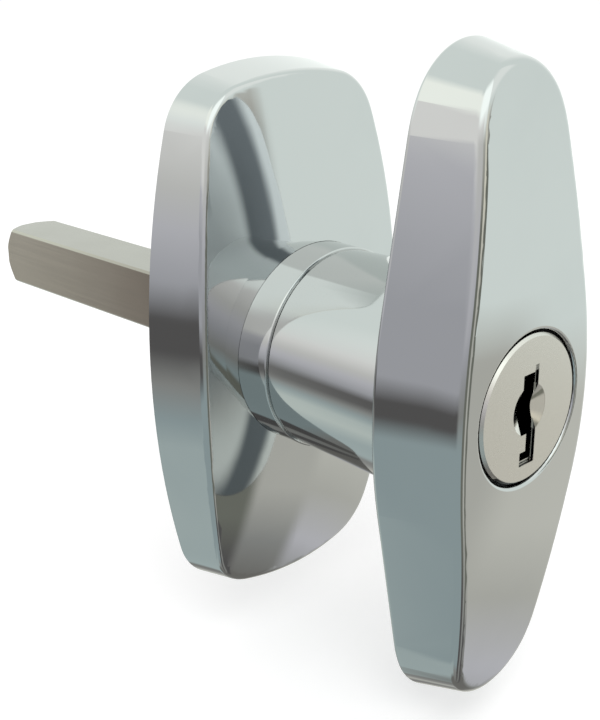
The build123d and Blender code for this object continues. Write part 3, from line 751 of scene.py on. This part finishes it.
def fitted_normals(mesh):
    """Fitted normals for the points of the small curved edges, by the sheet round each point."""
    places = np.array([point.co for point in mesh.vertices])
    front = places[:, 1] < GRIP_FRONT_Y
    round_lock = front & (np.hypot(places[:, 0], places[:, 2]) < LOCK_SURROUND)
    joined, creased = smooth_neighbours(mesh)
    fitted = {}
    for index in range(len(places)):
        if index in creased or round_lock[index]:
            continue
        near = {index}
        for _ in range(SHEET_STEPS):
            open_points = [point for point in near if point not in creased]
            near |= {far for point in open_points for far in joined[point]}
        near = np.array([index] + sorted(near - {index}))
        distance = np.linalg.norm(places[near] - places[index], axis=1)
        order = np.argsort(distance, kind="stable")
        order = order[: max(SHEET_POINTS, int((distance < SHEET_REACH).sum()))]
        slanted = EDGE_SLANT[0] < abs(mesh.vertices[index].normal.y) < EDGE_SLANT[1]
        limit = SHEET_LIMIT if front[index] and slanted else SHEET_REACH
        if len(order) >= SHEET_POINTS and distance[order[-1]] < limit:
            fitted[index] = sheet_normal(places[near[order]], np.array(mesh.vertices[index].normal))
    return fitted


def place_key(point):
    """A place as whole steps of the merge distance."""
    return tuple(round(value / MERGE_DISTANCE) for value in point)


def corner_normals_by_place(mesh):
    """The normal of each face's corner, found again by the face's middle and the corner's place."""
    kept = {}
    for face in mesh.polygons:
        for loop in face.loop_indices:
            point = mesh.vertices[mesh.loops[loop].vertex_index].co
            kept[place_key(face.center), place_key(point)] = tuple(mesh.corner_normals[loop].vector)
    return kept


def fair_skin(name, body):
    """A copy of a casting, in the same shape, whose small curved edges reflect without ripples."""
    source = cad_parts[name]
    skin = source.copy()
    skin.data = source.data.copy()
    skin.name = name + "_skin"
    bpy.context.scene.collection.objects.link(skin)
    bpy.ops.object.select_all(action="DESELECT")
    skin.select_set(True)
    bpy.context.view_layer.objects.active = skin
    bpy.ops.mesh.customdata_custom_splitnormals_clear()
    bpy.ops.object.mode_set(mode="EDIT")
    bpy.ops.mesh.select_all(action="SELECT")
    bpy.ops.mesh.remove_doubles(threshold=MERGE_DISTANCE)
    bpy.ops.object.mode_set(mode="OBJECT")
    bpy.ops.object.shade_smooth_by_angle(angle=math.radians(CREASE_ANGLE))
    fitted = fitted_normals(skin.data)
    kept = corner_normals_by_place(source.data)
    normals = []
    for face in skin.data.polygons:
        for index in face.vertices:
            point = skin.data.vertices[index].co
            plain = kept.get((place_key(face.center), place_key(point)), tuple(face.normal))
            normals.append(tuple(fitted[index]) if index in fitted else plain)
    skin.data.normals_split_custom_set(normals)
    skin.parent = None
    for key in list(skin.keys()):
        del skin[key]
    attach(skin, body)
    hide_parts(name)


def dress(material, *names):
    """Gives CAD nodes their finish."""
    for name in names:
        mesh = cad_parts[name].data
        mesh.materials.clear()
        mesh.materials.append(material)


def finishes():
    """The finish of every piece."""
    dress(chrome("plate_chrome", cast_back=True), "base_plate")
    dress(chrome("handle_chrome", grip=True), "handle_casting")
    dress(chrome("collar_chrome"), "collar_ring")
    dress(satin_nickel(), "lock_plug")
    dress(drawn_steel("drawn_bar", stretch=(2600.0, 45.0, 2600.0)), "spindle")
    dress(drawn_steel("milled_bolt", stretch=(1800.0, 1800.0, 90.0)), "locking_bolt")
    dress(drawn_steel("ground_pin", stretch=(90.0, 2400.0, 2400.0)), "spindle_pin")
    dress(zinc_plate(), "stop_washer")
    dress(spring_steel(), "wave_washer", "hub_circlip", "plug_clip", "sleeve_snap_ring", "wafer_springs")
    wafers = [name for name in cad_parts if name.startswith("wafer_") and name != "wafer_springs"]
    dress(lock_brass(), "lock_sleeve", *wafers)
    dress(seal_rubber(), "hub_seal")


studio_world()
floor()
room()
key_lamp()
camera()
finishes()
fair_skin("handle_casting", "handle")
fair_skin("base_plate", "base")

bpy.context.scene.view_settings.view_transform = "Standard"
